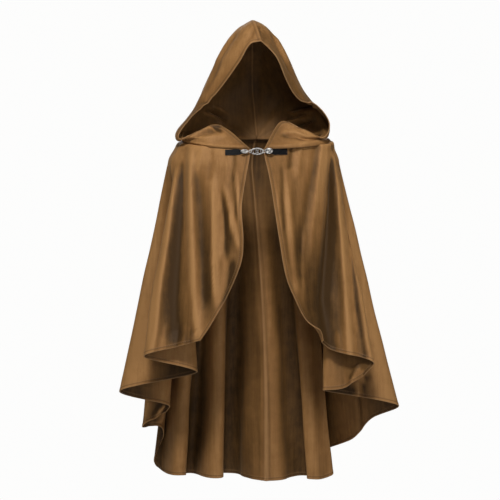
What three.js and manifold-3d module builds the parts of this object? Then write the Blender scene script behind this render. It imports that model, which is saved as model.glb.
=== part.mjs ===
// Hooded cloak worn closed at the throat with a tabbed clasp. Units are millimetres.
// +Z is up, the front faces -Y, and the origin is the middle of the neck at shoulder height,
// where the cloak is carried. Each panel is a wall of cloth of one thickness, lofted through
// rows: one row for each fold of the body, one for each rib of the hood.
import * as THREE from "three";
import { mergeVertices } from "three/addons/utils/BufferGeometryUtils.js";
import Module from "manifold-3d";

// ---------- driving dimensions ----------
const CLOTH = 1.6; // wall of the napped cloth
const SEAM_GAP = 0.46; // between the panels of a seam, before the facets take a little of it
const CENTRE_STEP = 0.95; // each half of the hood stands this far from the centre seam's line
const SEAM_STEP = 1.4; // each panel starts this far from the neck seam's line
const SHOULDER_V = 0.13; // share of a fold's run that lies on the shoulder
const NECK = { halfWidth: 195, front: -140, back: 95, z: [-22, 8, 25] };
const SHOULDER = { halfWidth: 226, shiftX: -9, front: -150, back: 120, z: [-80, -50, -55] };
const CENTRE_SHOULDER_X = -13; // the centre seam leaves the shoulders a little off the middle
const HOOD_MIDDLE_X = -12; // the hood leans a little to one side
const TIP_ROUND = 75; // how widely the cloth turns over a flute's tip at the hem
const BODY_DIV = { left: 5, right: 4, down: 13 };
const HOOD_DIV = { around: 13, up: 24 };
// The clasp: two leather tabs, two metal ends and the ring between them.
const TAB = { thick: 2.2, gap: 0.65, taperFrom: 0.75, end: 0.55 };
const TABS = {
  left: { x: [-82, -34], z: [-30.2, -29.2], half: 7.3 },
  right: { x: [77, 30], z: [-27.6, -28.6], half: 8.1 },
};
const RING = { x: -0.6, y: -151.2, z: -29.1, long: 32.6, high: 16.4 };
const WIRE = 1.3; // radius of the ring's wire
const EYE = { radius: 3.6, wire: 1.1 };
const END_THICK = 4.8;
const ENDS = {
  left: { x: -32.2, z: -28.9, long: 17.4, high: 9.4 },
  right: { x: 29.2, z: -27.6, long: 17.6, high: 14 },
};
const COLOUR = { cloth: 0x8a5d34, leather: 0x17181a, metal: 0xb9bcc0 };

// ---------- body folds ----------
// Each row is one fold line, in order round the hem from the left front corner over the back
// to the right front corner. deg is where it leaves the neck (0 centre front, 180 centre back),
// x, y, z is where it meets the hem, bow is how far its middle stands out from the straight line,
// and tip scales how widely the cloth turns there.
const FOLDS = [
  { name: "front_corner_l", side: -1, deg: 5, x: -142, y: -170, z: -505, bow: 0, tip: 0 },
  { name: "front_trough_l", side: -1, deg: 44, x: -206, y: -146, z: -524, bow: 2, tip: 0 },
  { name: "flute_1_out_l", side: -1, deg: 67, x: -287, y: -130, z: -550, bow: 6, tip: 0.35 },
  { name: "flute_1_in_l", side: -1, deg: 74, x: -161, y: -68, z: -597, bow: -18, tip: 1 },
  { name: "flute_2_out_l", side: -1, deg: 90, x: -364, y: 0, z: -652, bow: 0, tip: 0.35 },
  { name: "flute_2_in_l", side: -1, deg: 101, x: -239, y: 90, z: -703, bow: -8, tip: 1 },
  { name: "flute_3_out_l", side: -1, deg: 110, x: -315, y: 112, z: -763, bow: 0, tip: 0.6 },
  { name: "flute_3_in_l", side: -1, deg: 120, x: -262, y: 168, z: -776, bow: 0, tip: 0.5 },
  { name: "back_1_out_l", side: -1, deg: 129, x: -282, y: 222, z: -893, bow: 0, tip: 0.8 },
  { name: "back_1_in_l", side: -1, deg: 140, x: -210, y: 132, z: -900, bow: 0, tip: 0.8 },
  { name: "back_2_out_l", side: -1, deg: 150, x: -190, y: 230, z: -912, bow: 0, tip: 0.8 },
  { name: "back_2_in_l", side: -1, deg: 159, x: -108, y: 126, z: -907, bow: 0, tip: 0.8 },
  { name: "back_3_out_l", side: -1, deg: 168, x: -80, y: 228, z: -911, bow: 0, tip: 1 },
  { name: "centre_back", side: 1, deg: 180, x: 27, y: 126, z: -914, bow: 13, tip: 1 },
  { name: "back_3_out_r", side: 1, deg: 165, x: 133, y: 180, z: -909, bow: 0, tip: 0.8 },
  { name: "back_2_in_r", side: 1, deg: 153, x: 146, y: 128, z: -910, bow: 0, tip: 0.8 },
  { name: "back_1_in_r", side: 1, deg: 142, x: 206, y: 165, z: -907, bow: 0, tip: 0.8 },
  { name: "back_1_out_r", side: 1, deg: 131, x: 178, y: 226, z: -850, bow: 0, tip: 1 },
  { name: "flute_2_in_r", side: 1, deg: 113, x: 252, y: 130, z: -805, bow: 0, tip: 0.6 },
  { name: "flute_2_turn_r", side: 1, deg: 104, x: 308, y: 64, z: -735, bow: 0, tip: 0 },
  { name: "flute_2_out_r", side: 1, deg: 92, x: 370, y: 0, z: -689, bow: 0, tip: 0.3 },
  { name: "flute_1_in_r", side: 1, deg: 80, x: 176, y: -68, z: -644, bow: -10, tip: 1 },
  { name: "flute_1_under_r", side: 1, deg: 77, x: 228, y: -100, z: -630, bow: 0, tip: 0 },
  { name: "flute_1_out_r", side: 1, deg: 73, x: 293, y: -130, z: -564, bow: 6, tip: 0.35 },
  { name: "front_trough_r", side: 1, deg: 58, x: 184, y: -128, z: -530, bow: 0, tip: 0 },
  { name: "front_corner_r", side: 1, deg: 5, x: 157, y: -170, z: -479, bow: 0, tip: 0 },
];
const CENTRE_BACK = FOLDS.findIndex((f) => f.name === "centre_back");

// The front edges curve away to a rounded corner. v is the share of the way down.
const FRONT_EDGE = {
  left: [
    { v: 0.0, x: -16, y: -140, z: -22 },
    { v: 0.13, x: -27, y: -154, z: -85 },
    { v: 0.3, x: -39, y: -165, z: -167 },
    { v: 0.48, x: -35, y: -172, z: -253 },
    { v: 0.62, x: -42, y: -176, z: -314 },
    { v: 0.77, x: -72, y: -178, z: -385 },
    { v: 0.91, x: -112, y: -176, z: -459 },
    { v: 1.0, x: -142, y: -170, z: -505 },
  ],
  right: [
    { v: 0.0, x: 14, y: -140, z: -22 },
    { v: 0.13, x: 26, y: -152, z: -75 },
    { v: 0.3, x: 39, y: -162, z: -145 },
    { v: 0.48, x: 52, y: -170, z: -235 },
    { v: 0.68, x: 69, y: -175, z: -336 },
    { v: 0.82, x: 91, y: -177, z: -396 },
    { v: 0.93, x: 120, y: -176, z: -452 },
    { v: 1.0, x: 157, y: -170, z: -479 },
  ],
};

// ---------- hood ribs ----------
// Each row is a rib from the neck seam to the centre seam; t is 0 at the face opening and 1 at
// the nape, deg where it leaves the neck. The lower points make the pouch that lies on the shoulder.
const RIBS = [
  { t: 0.0, deg: 5, stand: [-96, -80, 45], lap: [-150, -95, 29], flop: [-196, -88, 8], bulge: [-204, -68, 26], cheek: [-172, -75, 62], jaw: [-118, -110, 107], temple: [-49, -140, 194], crown: [-20, -145, 239], top: [9, -145, 251] },
  { t: 0.12, deg: 34, stand: [-135, -108, 8], lap: [-172, -98, 10], flop: [-204, -72, 4], bulge: [-210, -46, 28], cheek: [-176, -48, 74], jaw: [-134, -80, 132], temple: [-76, -108, 222], crown: [-38, -113, 278], top: [-4, -112, 298] },
  { t: 0.3, deg: 63, stand: [-184, -70, 12], lap: [-200, -52, 14], flop: [-211, -34, 20], bulge: [-204, -14, 48], cheek: [-165, -15, 94], jaw: [-141, -30, 146], temple: [-92, -52, 246], crown: [-50, -58, 300], top: [-12, -60, 320] },
  { t: 0.5, deg: 92, stand: [-196, -12, 22], lap: [-194, 0, 36], flop: [-188, 10, 54], bulge: [-176, 18, 82], cheek: [-154, 25, 118], jaw: [-134, 25, 166], temple: [-84, 4, 254], crown: [-46, 6, 292], top: [-12, 8, 306] },
  { t: 0.7, deg: 121, stand: [-168, 48, 30], lap: [-164, 58, 46], flop: [-156, 68, 64], bulge: [-146, 76, 88], cheek: [-130, 82, 120], jaw: [-110, 82, 160], temple: [-66, 72, 222], crown: [-38, 78, 247], top: [-12, 80, 256] },
  { t: 0.87, deg: 149, stand: [-104, 92, 34], lap: [-102, 98, 46], flop: [-98, 104, 60], bulge: [-92, 110, 78], cheek: [-82, 116, 98], jaw: [-68, 120, 124], temple: [-42, 122, 152], crown: [-26, 124, 165], top: [-12, 124, 170] },
];
const RIB_POINTS = ["stand", "lap", "flop", "bulge", "cheek", "jaw", "temple", "crown", "top"];
// The right rim is its own row; the other ribs are mirrored, with the pouch lifted.
const RIGHT_RIM = { stand: [59, -80, 53], lap: [105, -95, 38], flop: [168, -90, 13], bulge: [187, -66, 54], cheek: [155, -76, 98], jaw: [100, -102, 116], temple: [57, -140, 197], crown: [33, -144, 229], top: [9, -145, 251] };
const RIGHT_LIFT = { stand: 0, lap: 4, flop: 8, bulge: 24, cheek: 18, jaw: 0, temple: 0, crown: 0, top: 0 };
const NAPE = { deg: 179.6, rise: 5 };

// ---------- interpolation ----------
const rad = (d) => (d * Math.PI) / 180;
const clamp = (x, a, b) => Math.min(b, Math.max(a, x));

// Catmull-Rom through values p at whole parameters.
function spline(p, t) {
  const n = p.length - 1;
  const i = clamp(Math.floor(t), 0, n - 1);
  const f = t - i;
  const a = p[i], b = p[i + 1];
  const before = i > 0 ? p[i - 1] : 2 * a - b;
  const after = i < n - 1 ? p[i + 2] : 2 * b - a;
  const m0 = (b - before) / 2, m1 = (after - a) / 2;
  const f2 = f * f, f3 = f2 * f;
  return (2 * f3 - 3 * f2 + 1) * a + (f3 - 2 * f2 + f) * m0 + (3 * f2 - 2 * f3) * b + (f3 - f2) * m1;
}
const spline3 = (points, t) => [0, 1, 2].map((k) => spline(points.map((q) => q[k]), t));

// A ring's height from its values at centre front, side and centre back.
function ringHeight([front, side, back], c) {
  const B = (front - back) / 2, sum = (front + back) / 2;
  const C = (sum - side) / 2, A = sum - C;
  return A + B * c + C * (2 * c * c - 1);
}
function ring(r, side, deg) {
  const c = Math.cos(rad(deg));
  const y = (r.front + r.back) / 2 + ((r.front - r.back) / 2) * c;
  return [(r.shiftX || 0) + side * r.halfWidth * Math.sin(rad(deg)), y, ringHeight(r.z, c)];
}

function edgePoint(rows, v) {
  let i = 0;
  while (i < rows.length - 2 && v > rows[i + 1].v) i++;
  const t = i + (v - rows[i].v) / (rows[i + 1].v - rows[i].v);
  return spline3(rows.map((r) => [r.x, r.y, r.z]), t);
}

// A fold line leaves the neck level, rounds the shoulder and runs down to the hem.
function foldPoint(f, v) {
  if (f.name === "front_corner_l") return edgePoint(FRONT_EDGE.left, v);
  if (f.name === "front_corner_r") return edgePoint(FRONT_EDGE.right, v);
  const n = ring(NECK, f.side, f.deg), s = ring(SHOULDER, f.side, f.deg);
  if (f.name === "centre_back") s[0] = CENTRE_SHOULDER_X;
  if (v <= SHOULDER_V) {
    const q = (v / SHOULDER_V) * (Math.PI / 2);
    return [n[0] + (s[0] - n[0]) * Math.sin(q), n[1] + (s[1] - n[1]) * Math.sin(q), n[2] + (s[2] - n[2]) * (1 - Math.cos(q))];
  }
  const w = (v - SHOULDER_V) / (1 - SHOULDER_V);
  const out = f.bow * Math.sin(Math.PI * w);
  return [s[0] + (f.x - s[0]) * w + f.side * out, s[1] + (f.y - s[1]) * w, s[2] + (f.z - s[2]) * w];
}
// Between fold lines the cloth turns over each tip along the ring's own direction.
function bodyPoint(a, v) {
  const i = clamp(Math.floor(a), 0, FOLDS.length - 2), f = a - i;
  const p = [i - 1, i, i + 1, i + 2].map((k) => foldPoint(FOLDS[clamp(k, 0, FOLDS.length - 1)], v));
  const turn = (row, before, after) => {
    const open = TIP_ROUND * clamp((v - SHOULDER_V) / (1 - SHOULDER_V), 0, 1);
    const q = rad(row.deg), ahead = row.side < 0 ? 1 : -1;
    const way = [row.side * Math.cos(q) * ahead * 1.2, Math.sin(q) * ahead, 0];
    const half = row === FOLDS[0] || row === FOLDS[FOLDS.length - 1] ? 1 : 0.5;
    return [0, 1, 2].map((k) => (after[k] - before[k]) * half + way[k] * open * row.tip);
  };
  const m0 = turn(FOLDS[i], i ? p[0] : p[1], p[2]);
  const m1 = turn(FOLDS[i + 1], p[1], i < FOLDS.length - 2 ? p[3] : p[2]);
  const f2 = f * f, f3 = f2 * f;
  return [0, 1, 2].map((k) => (2 * f3 - 3 * f2 + 1) * p[1][k] + (f3 - 2 * f2 + f) * m0[k] + (3 * f2 - 2 * f3) * p[2][k] + (f3 - f2) * m1[k]);
}

function ribPoints(side) {
  const rows = RIBS.map((r, i) => {
    const neck = ring(NECK, side, r.deg);
    const rest = RIB_POINTS.map((k) => {
      if (side < 0) return r[k];
      if (i === 0) return RIGHT_RIM[k];
      if (k === "top") return r[k]; // the centre seam belongs to both halves
      const [x, y, z] = r[k];
      return [2 * HOOD_MIDDLE_X - x, y, z + RIGHT_LIFT[k]];
    });
    return { t: r.t, points: [neck, ...rest] };
  });
  const last = ring(NECK, side, NAPE.deg);
  const tip = RIB_POINTS.length;
  rows.push({
    t: 1,
    points: Array.from({ length: tip + 1 }, (_, k) => [last[0] * (1 - k / tip), last[1] + (2 * k) / tip, last[2] + (NAPE.rise * k) / tip]),
  });
  return rows;
}
const HOOD_ROWS = { "-1": ribPoints(-1), 1: ribPoints(1) };

function hoodPoint(side, t, s) {
  const rows = HOOD_ROWS[side];
  let i = 0;
  while (i < rows.length - 2 && t > rows[i + 1].t) i++;
  const a = i + (t - rows[i].t) / (rows[i + 1].t - rows[i].t);
  const p = spline3(rows.map((r) => spline3(r.points, s * (r.points.length - 1))), a);
  return [p[0] + side * CENTRE_STEP, p[1], p[2] + SEAM_STEP];
}

// ---------- a wall of cloth over a grid ----------
function wall(point, us, vs, offset = 0, thickness = CLOTH, clampU = Infinity, clampV = Infinity) {
  const h = 1e-3;
  const outer = [], inner = [];
  for (const u of us)
    for (const v of vs) {
      const p = new THREE.Vector3(...point(u, v));
      const uu = Math.min(u, clampU), vv = Math.min(v, clampV);
      const du = new THREE.Vector3(...point(uu + h, vv)).sub(new THREE.Vector3(...point(uu - h, vv)));
      const dv = new THREE.Vector3(...point(uu, vv + h)).sub(new THREE.Vector3(...point(uu, vv - h)));
      const n = du.cross(dv).normalize();
      outer.push(p.clone().addScaledVector(n, offset + thickness / 2));
      inner.push(p.clone().addScaledVector(n, offset - thickness / 2));
    }
  const U = us.length, V = vs.length, all = [...outer, ...inner];
  const index = [];
  const o = (i, j) => i * V + j, n = (i, j) => U * V + i * V + j;
  const quad = (a, b, c, d) => index.push(a, b, c, a, c, d);
  for (let i = 0; i < U - 1; i++)
    for (let j = 0; j < V - 1; j++) {
      quad(o(i, j), o(i + 1, j), o(i + 1, j + 1), o(i, j + 1));
      quad(n(i, j), n(i, j + 1), n(i + 1, j + 1), n(i + 1, j));
    }
  for (let i = 0; i < U - 1; i++) {
    quad(o(i, 0), n(i, 0), n(i + 1, 0), o(i + 1, 0));
    quad(o(i, V - 1), o(i + 1, V - 1), n(i + 1, V - 1), n(i, V - 1));
  }
  for (let j = 0; j < V - 1; j++) {
    quad(o(0, j), o(0, j + 1), n(0, j + 1), n(0, j));
    quad(o(U - 1, j), n(U - 1, j), n(U - 1, j + 1), o(U - 1, j + 1));
  }
  const g = new THREE.BufferGeometry();
  g.setAttribute("position", new THREE.Float32BufferAttribute(all.flatMap((p) => [p.x, p.y, p.z]), 3));
  g.setIndex(index);
  return volume(g) < 0 ? flipped(g) : g;
}
function volume(g) {
  const p = g.attributes.position, ix = g.index.array;
  const a = new THREE.Vector3(), b = new THREE.Vector3(), c = new THREE.Vector3();
  let v = 0;
  for (let i = 0; i < ix.length; i += 3) {
    a.fromBufferAttribute(p, ix[i]);
    b.fromBufferAttribute(p, ix[i + 1]);
    c.fromBufferAttribute(p, ix[i + 2]);
    v += a.dot(b.cross(c)) / 6;
  }
  return v;
}
function flipped(g) {
  const ix = g.index.array;
  for (let i = 0; i < ix.length; i += 3) [ix[i + 1], ix[i + 2]] = [ix[i + 2], ix[i + 1]];
  return g;
}
const steps = (a, b, n) => Array.from({ length: n + 1 }, (_, i) => a + ((b - a) * i) / n);

// ---------- a closed loop of round wire ----------
function wireLoop(path, radius, sides, count) {
  const up = new THREE.Vector3(0, 1, 0);
  const all = [], index = [];
  for (let i = 0; i < count; i++) {
    const p = path(i / count), q = path((i + 0.01) / count);
    const along = q.clone().sub(p).normalize();
    const across = along.clone().cross(up).normalize();
    const over = across.clone().cross(along).normalize();
    for (let k = 0; k < sides; k++) {
      const a = (2 * Math.PI * k) / sides;
      all.push(p.clone().addScaledVector(across, radius * Math.cos(a)).addScaledVector(over, radius * Math.sin(a)));
    }
  }
  const at = (i, k) => (i % count) * sides + (k % sides);
  for (let i = 0; i < count; i++)
    for (let k = 0; k < sides; k++)
      index.push(at(i, k), at(i + 1, k), at(i + 1, k + 1), at(i, k), at(i + 1, k + 1), at(i, k + 1));
  const g = new THREE.BufferGeometry();
  g.setAttribute("position", new THREE.Float32BufferAttribute(all.flatMap((p) => [p.x, p.y, p.z]), 3));
  g.setIndex(index);
  return volume(g) < 0 ? flipped(g) : g;
}

// ---------- assembly ----------
const clothMaterial = new THREE.MeshStandardMaterial({ color: COLOUR.cloth, roughness: 0.85, metalness: 0 });
const leatherMaterial = new THREE.MeshStandardMaterial({ color: COLOUR.leather, roughness: 0.45, metalness: 0 });
const metalMaterial = new THREE.MeshStandardMaterial({ color: COLOUR.metal, roughness: 0.3, metalness: 1 });

const cloak = new THREE.Group();
const cloth = new THREE.Group(), clasp = new THREE.Group();
cloak.add(cloth, clasp);
function add(group, name, geometry, material) {
  const m = new THREE.Mesh(geometry, material);
  m.name = name;
  group.add(m);
  return m;
}

// The neck seam leaves a small step on the body and on the hood.
const neckV = (SEAM_STEP / 60) * SHOULDER_V;
const seamA = SEAM_GAP / 2 / 60;
const down = steps(neckV, 1, BODY_DIV.down);
add(cloth, "body_left", wall(bodyPoint, steps(0, CENTRE_BACK - seamA, CENTRE_BACK * BODY_DIV.left), down), clothMaterial);
add(cloth, "body_right", wall(bodyPoint, steps(CENTRE_BACK + seamA, FOLDS.length - 1, (FOLDS.length - 1 - CENTRE_BACK) * BODY_DIV.right), down), clothMaterial);

const around = steps(0, 0.985, HOOD_DIV.around), up = steps(0.012, 1, HOOD_DIV.up);
for (const side of [-1, 1])
  add(cloth, side < 0 ? "hood_left" : "hood_right", wall((t, s) => hoodPoint(side, t, s), around, up, 0, CLOTH, 0.95, 0.99), clothMaterial);

// ---------- the clasp ----------
// Where a front has a given x and z.
function frontAt(x, z, side) {
  let a = side < 0 ? 0.6 : FOLDS.length - 1.6, v = 0.03;
  const h = 1e-4;
  for (let i = 0; i < 24; i++) {
    const p = bodyPoint(a, v), pa = bodyPoint(a + h, v), pv = bodyPoint(a, v + h);
    const A = (pa[0] - p[0]) / h, B = (pv[0] - p[0]) / h, C = (pa[2] - p[2]) / h, D = (pv[2] - p[2]) / h;
    const ex = x - p[0], ez = z - p[2], det = A * D - B * C;
    a += (ex * D - ez * B) / det;
    v += (A * ez - C * ex) / det;
  }
  return bodyPoint(a, v);
}
// A tab follows the front it is sewn to, from its outer end (u = 0) to its tapered inner end (u = 1).
function tabPoint(t, side, u, w) {
  const x = t.x[0] + (t.x[1] - t.x[0]) * u;
  const taper = u > TAB.taperFrom ? 1 - ((1 - TAB.end) * (u - TAB.taperFrom)) / (1 - TAB.taperFrom) : 1;
  const z = t.z[0] + (t.z[1] - t.z[0]) * u + w * t.half * taper;
  const p = frontAt(x, z, side);
  return [p[0], p[1] - CLOTH / 2 - TAB.gap - TAB.thick / 2, p[2]];
}
const tabSide = { left: -1, right: 1 };
for (const [name, t] of Object.entries(TABS)) {
  const along = [0, 0.2, 0.4, 0.6, TAB.taperFrom, 0.9, 1];
  const g = wall((u, w) => tabPoint(t, tabSide[name], u, w), along, [-1, -0.5, 0, 0.5, 1], 0, TAB.thick);
  add(clasp, "tab_" + name, g, leatherMaterial);
}

const wasm = await Module();
wasm.setup();
function solid(geometry) {
  const g = mergeVertices(new THREE.BufferGeometry().setAttribute("position", (geometry.index ? geometry.toNonIndexed() : geometry).getAttribute("position")), 1e-4);
  return new wasm.Manifold(new wasm.Mesh({ numProp: 3, vertProperties: g.attributes.position.array, triVerts: new Uint32Array(g.index.array) }));
}
function joined(geometries) {
  const m = geometries.map(solid).reduce((a, b) => a.add(b)).getMesh();
  const g = new THREE.BufferGeometry();
  g.setAttribute("position", new THREE.Float32BufferAttribute(m.vertProperties, 3));
  g.setIndex(new THREE.Uint32BufferAttribute(m.triVerts, 1));
  return g;
}

// The middle ring is an almond of wire with a figure of eight of thinner wire joined inside it.
const almond = wireLoop((q) => {
  const a = 2 * Math.PI * q, c = Math.cos(a), n = Math.sin(a);
  return new THREE.Vector3(RING.x + (RING.long / 2) * c, RING.y, RING.z + (RING.high / 2) * n * Math.pow(Math.abs(n), 0.12));
}, WIRE, 10, 48);
const eight = wireLoop((q) => {
  const a = 2 * Math.PI * (q + 0.003);
  return new THREE.Vector3(RING.x + 8.4 * Math.sin(a), RING.y - 0.3 + 1.5 * Math.cos(a), RING.z + 6.3 * Math.sin(2 * a));
}, 0.95, 8, 64);
add(clasp, "ring_middle", joined([almond, eight]), metalMaterial);

// Each end is an oval boss on its tab with a neck and an eye, and the eye goes round the ring's end.
for (const [name, e] of Object.entries(ENDS)) {
  const side = tabSide[name];
  const boss = new THREE.SphereGeometry(1, 20, 12);
  boss.rotateX(Math.PI / 2);
  boss.scale(e.long / 2, END_THICK / 2, e.high / 2);
  boss.translate(e.x, RING.y, e.z);
  const eyeX = RING.x + side * (RING.long / 2 + 0.6);
  const eye = new THREE.TorusGeometry(EYE.radius, EYE.wire, 10, 24);
  eye.translate(eyeX, RING.y, RING.z);
  const from = new THREE.Vector3(e.x, RING.y, e.z), to = new THREE.Vector3(eyeX + side * EYE.radius, RING.y, RING.z);
  const neck = new THREE.CylinderGeometry(1.2, 2, from.distanceTo(to), 12);
  neck.applyQuaternion(new THREE.Quaternion().setFromUnitVectors(new THREE.Vector3(0, 1, 0), to.clone().sub(from).normalize()));
  neck.translate(...from.add(to).multiplyScalar(0.5).toArray());
  add(clasp, "end_" + name, joined([boss, neck, eye]), metalMaterial);
}

export default cloak;
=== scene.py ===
# Hooded cloak. Tables are in millimetres in the part's own frame: +Z up, the front faces -Y.
import math
import bpy
import numpy as np
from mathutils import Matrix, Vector


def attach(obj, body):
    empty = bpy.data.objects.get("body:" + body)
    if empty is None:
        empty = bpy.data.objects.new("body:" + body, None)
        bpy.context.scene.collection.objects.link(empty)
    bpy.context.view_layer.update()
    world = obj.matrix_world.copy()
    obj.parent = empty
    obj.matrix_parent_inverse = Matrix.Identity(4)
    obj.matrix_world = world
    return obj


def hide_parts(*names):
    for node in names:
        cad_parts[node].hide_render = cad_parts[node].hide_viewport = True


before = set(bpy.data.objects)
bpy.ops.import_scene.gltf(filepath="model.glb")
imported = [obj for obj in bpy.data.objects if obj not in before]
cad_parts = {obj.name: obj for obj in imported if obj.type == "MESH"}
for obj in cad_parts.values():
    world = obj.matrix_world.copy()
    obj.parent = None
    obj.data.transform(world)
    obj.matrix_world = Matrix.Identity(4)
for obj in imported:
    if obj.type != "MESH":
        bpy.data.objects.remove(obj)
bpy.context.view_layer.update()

MM = 0.001

# ------------------------------------------------------------------ form of the panels
CLOTH = 1.6
SEAM_STEP = 0.0
CENTRE_STEP = 0.0
SHOULDER_V = 0.13
NECK = dict(half=195, front=-140, back=95, z=(-22, 8, 25), shift=0)
SHOULDER = dict(half=226, front=-150, back=120, z=(-80, -50, -55), shift=-9)
HOOD_MIDDLE_X = -12
TIP_ROUND = 75

# name, side, deg at the neck, x, y, z at the hem, bow, tip
FOLDS = [
    ("front_corner_l", -1, 5, -142, -170, -505, 0, 0),
    ("front_trough_l", -1, 44, -206, -146, -524, 2, 0),
    ("flute_1_out_l", -1, 67, -287, -130, -550, 6, 0.35),
    ("flute_1_in_l", -1, 74, -161, -68, -597, -18, 1),
    ("flute_2_out_l", -1, 90, -364, 0, -652, 0, 0.35),
    ("flute_2_in_l", -1, 101, -239, 90, -703, -8, 1),
    ("flute_3_out_l", -1, 110, -315, 112, -763, 0, 0.6),
    ("flute_3_in_l", -1, 120, -262, 168, -776, 0, 0.5),
    ("back_1_out_l", -1, 129, -282, 222, -893, 0, 0.8),
    ("back_1_in_l", -1, 140, -210, 132, -900, 0, 0.8),
    ("back_2_out_l", -1, 150, -190, 230, -912, 0, 0.8),
    ("back_2_in_l", -1, 159, -108, 126, -907, 0, 0.8),
    ("back_3_out_l", -1, 168, -80, 228, -911, 0, 1),
    ("centre_back", 1, 180, 27, 126, -914, 13, 1),
    ("back_3_out_r", 1, 165, 133, 180, -909, 0, 0.8),
    ("back_2_in_r", 1, 153, 146, 128, -910, 0, 0.8),
    ("back_1_in_r", 1, 142, 206, 165, -907, 0, 0.8),
    ("back_1_out_r", 1, 131, 178, 226, -850, 0, 1),
    ("flute_2_in_r", 1, 113, 252, 130, -805, 0, 0.6),
    ("flute_2_turn_r", 1, 104, 308, 64, -735, 0, 0),
    ("flute_2_out_r", 1, 92, 370, 0, -689, 0, 0.3),
    ("flute_1_in_r", 1, 80, 176, -68, -644, -10, 1),
    ("flute_1_under_r", 1, 77, 228, -100, -630, 0, 0),
    ("flute_1_out_r", 1, 73, 293, -130, -564, 6, 0.35),
    ("front_trough_r", 1, 58, 184, -128, -530, 0, 0),
    ("front_corner_r", 1, 5, 157, -170, -479, 0, 0),
]
CENTRE_BACK = [f[0] for f in FOLDS].index("centre_back")
LAST = len(FOLDS) - 1
CENTRE_SHOULDER_X = -13

# v, x, y, z
EDGE_L = [(0.0, -16, -140, -22), (0.13, -27, -154, -85), (0.3, -39, -165, -167), (0.48, -35, -172, -253),
          (0.62, -42, -176, -314), (0.77, -72, -178, -385), (0.91, -112, -176, -459), (1.0, -142, -170, -505)]
EDGE_R = [(0.0, 14, -140, -22), (0.13, 26, -152, -75), (0.3, 39, -162, -145), (0.48, 52, -170, -235),
          (0.68, 69, -175, -336), (0.82, 91, -177, -396), (0.93, 120, -176, -452), (1.0, 157, -170, -479)]

# t, deg at the neck, then stand, lap, flop, bulge, cheek, jaw, temple, crown, top
RIBS = [
    (0.0, 5, (-96, -80, 45), (-150, -95, 29), (-196, -88, 8), (-204, -68, 26), (-172, -75, 62), (-118, -110, 107), (-49, -140, 194), (-20, -145, 239), (9, -145, 251)),
    (0.12, 34, (-135, -108, 8), (-172, -98, 10), (-204, -72, 4), (-210, -46, 28), (-176, -48, 74), (-134, -80, 132), (-76, -108, 222), (-38, -113, 278), (-4, -112, 298)),
    (0.3, 63, (-184, -70, 12), (-200, -52, 14), (-211, -34, 20), (-204, -14, 48), (-165, -15, 94), (-141, -30, 146), (-92, -52, 246), (-50, -58, 300), (-12, -60, 320)),
    (0.5, 92, (-196, -12, 22), (-194, 0, 36), (-188, 10, 54), (-176, 18, 82), (-154, 25, 118), (-134, 25, 166), (-84, 4, 254), (-46, 6, 292), (-12, 8, 306)),
    (0.7, 121, (-168, 48, 30), (-164, 58, 46), (-156, 68, 64), (-146, 76, 88), (-130, 82, 120), (-110, 82, 160), (-66, 72, 222), (-38, 78, 247), (-12, 80, 256)),
    (0.87, 149, (-104, 92, 34), (-102, 98, 46), (-98, 104, 60), (-92, 110, 78), (-82, 116, 98), (-68, 120, 124), (-42, 122, 152), (-26, 124, 165), (-12, 124, 170)),
]
RIGHT_RIM = ((59, -80, 53), (105, -95, 38), (168, -90, 13), (187, -66, 54), (155, -76, 98), (100, -102, 116), (57, -140, 197), (33, -144, 229), (9, -145, 251))
RIGHT_LIFT = (0, 4, 8, 24, 18, 0, 0, 0, 0)
NAPE_DEG, NAPE_RISE = 180, 5


def hermite(a, b, m0, m1, f):
    f2, f3 = f * f, f * f * f
    return (2 * f3 - 3 * f2 + 1) * a + (f3 - 2 * f2 + f) * m0 + (3 * f2 - 2 * f3) * b + (f3 - f2) * m1


def catmull(p, t):
    """Catmull-Rom through the rows of p (n, 3) at parameters t, an array."""
    p = np.asarray(p, float)
    n = len(p) - 1
    i = np.clip(np.floor(t).astype(int), 0, n - 1)
    f = (t - i)[..., None]
    a, b = p[i], p[i + 1]
    before = np.where((i > 0)[..., None], p[np.maximum(i - 1, 0)], 2 * a - b)
    after = np.where((i < n - 1)[..., None], p[np.minimum(i + 2, n)], 2 * b - a)
    return hermite(a, b, (b - before) / 2, (after - a) / 2, f)


def ring_point(r, side, deg):
    c, s = math.cos(math.radians(deg)), math.sin(math.radians(deg))
    front, mid, back = r["z"]
    B, total = (front - back) / 2, (front + back) / 2
    C = (total - mid) / 2
    z = total - C + B * c + C * (2 * c * c - 1)
    return np.array([r["shift"] + side * r["half"] * s, (r["front"] + r["back"]) / 2 + (r["front"] - r["back"]) / 2 * c, z])


def edge_points(rows, v):
    vs = np.array([r[0] for r in rows])
    i = np.clip(np.searchsorted(vs, v, side="right") - 1, 0, len(rows) - 2)
    t = i + (v - vs[i]) / (vs[i + 1] - vs[i])
    return catmull([r[1:] for r in rows], t)


def fold_points(k, v):
    """Points of fold line k at the shares v, an array."""
    name, side, deg, x, y, z, bow, _ = FOLDS[k]
    if name == "front_corner_l":
        return edge_points(EDGE_L, v)
    if name == "front_corner_r":
        return edge_points(EDGE_R, v)
    n, s = ring_point(NECK, side, deg), ring_point(SHOULDER, side, deg)
    if name == "centre_back":
        s[0] = CENTRE_SHOULDER_X
    q = np.clip(v / SHOULDER_V, None, 1) * math.pi / 2
    top = np.stack([n[0] + (s[0] - n[0]) * np.sin(q), n[1] + (s[1] - n[1]) * np.sin(q), n[2] + (s[2] - n[2]) * (1 - np.cos(q))], -1)
    w = ((v - SHOULDER_V) / (1 - SHOULDER_V))[..., None]
    low = s + (np.array([x, y, z]) - s) * w
    low[..., 0] += side * bow * np.sin(math.pi * w[..., 0])
    return np.where((v <= SHOULDER_V)[..., None], top, low)


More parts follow.
